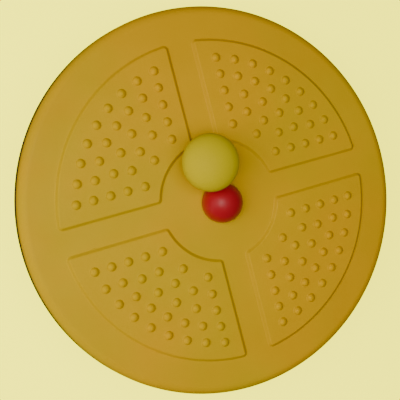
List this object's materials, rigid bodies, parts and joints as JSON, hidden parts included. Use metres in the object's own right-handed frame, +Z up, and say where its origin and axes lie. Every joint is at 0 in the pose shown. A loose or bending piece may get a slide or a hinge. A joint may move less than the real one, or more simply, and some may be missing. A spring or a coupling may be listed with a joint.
{
  "type": "balance board",
  "caption": "Round tilting balance board: textured deck turning on a hub bearing over a universal joint and flat base, with a domed hub cap and a revolving grip knob.",
  "frame": {"origin": "on the floor under the centre of the deck, at the middle of the four feet", "axes": "+Z up through the hub with the deck level; +X and +Y along the deck's two crossing channels; the grip is near +Y"},
  "size_m": [0.58, 0.58, 0.182],
  "materials": {
    "deck_plastic": "satin moulded plastic, mustard yellow",
    "knob_yellow": "glossy moulded plastic, olive yellow",
    "cap_red": "glossy moulded plastic, red",
    "cover_plastic": "fine textured moulded plastic, black",
    "black_paint": "powder coat, black",
    "rubber": "matte black rubber",
    "bright_steel": "turned steel",
    "zinc_plate": "bright zinc plate",
    "nylon": "natural nylon"
  },
  "bodies": {
    "base": {"base_plate": "black_paint", "base_foot_1": "rubber", "base_foot_2": "rubber", "base_foot_3": "rubber", "base_foot_4": "rubber", "stop_buffer_1": "rubber", "stop_buffer_2": "rubber", "stop_buffer_3": "rubber", "stop_buffer_4": "rubber", "lower_yoke": "black_paint", "lower_yoke_bolt_1": "zinc_plate", "lower_yoke_bolt_2": "zinc_plate", "lower_yoke_bolt_3": "zinc_plate", "lower_yoke_bolt_4": "zinc_plate", "lower_pivot_bush_1": "rubber", "lower_pivot_bush_2": "rubber"},
    "pivot_cross": {"cross_spider": "bright_steel", "pivot_circlip_1": "bright_steel", "pivot_circlip_2": "bright_steel", "pivot_circlip_3": "bright_steel", "pivot_circlip_4": "bright_steel"},
    "carriage": {"upper_yoke": "black_paint", "upper_pivot_bush_1": "rubber", "upper_pivot_bush_2": "rubber", "spindle": "bright_steel", "spindle_screw_1": "zinc_plate", "spindle_screw_2": "zinc_plate", "spindle_screw_3": "zinc_plate", "spindle_screw_4": "zinc_plate", "bearing_inner_race": "bright_steel", "spacer_sleeve": "zinc_plate", "cap_carrier_plate": "zinc_plate", "spindle_lock_nut": "zinc_plate", "grip_arm": "bright_steel", "hub_cap": "cap_red", "grip_stud": "bright_steel", "grip_stud_nut": "zinc_plate"},
    "deck": {"deck_top_shell": "deck_plastic", "deck_underside_cover": "cover_plastic", "cover_screw_1": "zinc_plate", "cover_screw_2": "zinc_plate", "cover_screw_3": "zinc_plate", "cover_screw_4": "zinc_plate", "cover_screw_5": "zinc_plate", "cover_screw_6": "zinc_plate", "rim_edge_trim": "rubber", "hub_housing": "bright_steel", "hub_bolt_1": "zinc_plate", "hub_bolt_2": "zinc_plate", "hub_bolt_3": "zinc_plate", "hub_bolt_4": "zinc_plate", "bearing_outer_race": "bright_steel", "bearing_ball_cage": "bright_steel", "bearing_circlip": "bright_steel", "spindle_seal": "rubber"},
    "grip": {"grip_knob": "knob_yellow", "grip_bush": "nylon"}
  },
  "joints": [
    {"name": "tilt_x", "type": "hinge", "parent": "base", "child": "pivot_cross", "pos_m": [0, 0, 0.05], "axis": [1, 0, 0], "range_deg": [-10, 10], "stiffness_Nm_per_rad": 60},
    {"name": "tilt_y", "type": "hinge", "parent": "pivot_cross", "child": "carriage", "pos_m": [0, 0, 0.05], "axis": [0, 1, 0], "range_deg": [-10, 10], "stiffness_Nm_per_rad": 60},
    {"name": "deck_spin", "type": "hinge", "parent": "carriage", "child": "deck", "pos_m": [0, 0, 0.1], "axis": [0, 0, 1], "continuous": true},
    {"name": "grip_spin", "type": "hinge", "parent": "carriage", "child": "grip", "pos_m": [-0.01328, 0.058, 0.15], "axis": [0, 0, 1], "continuous": true}
  ]
}
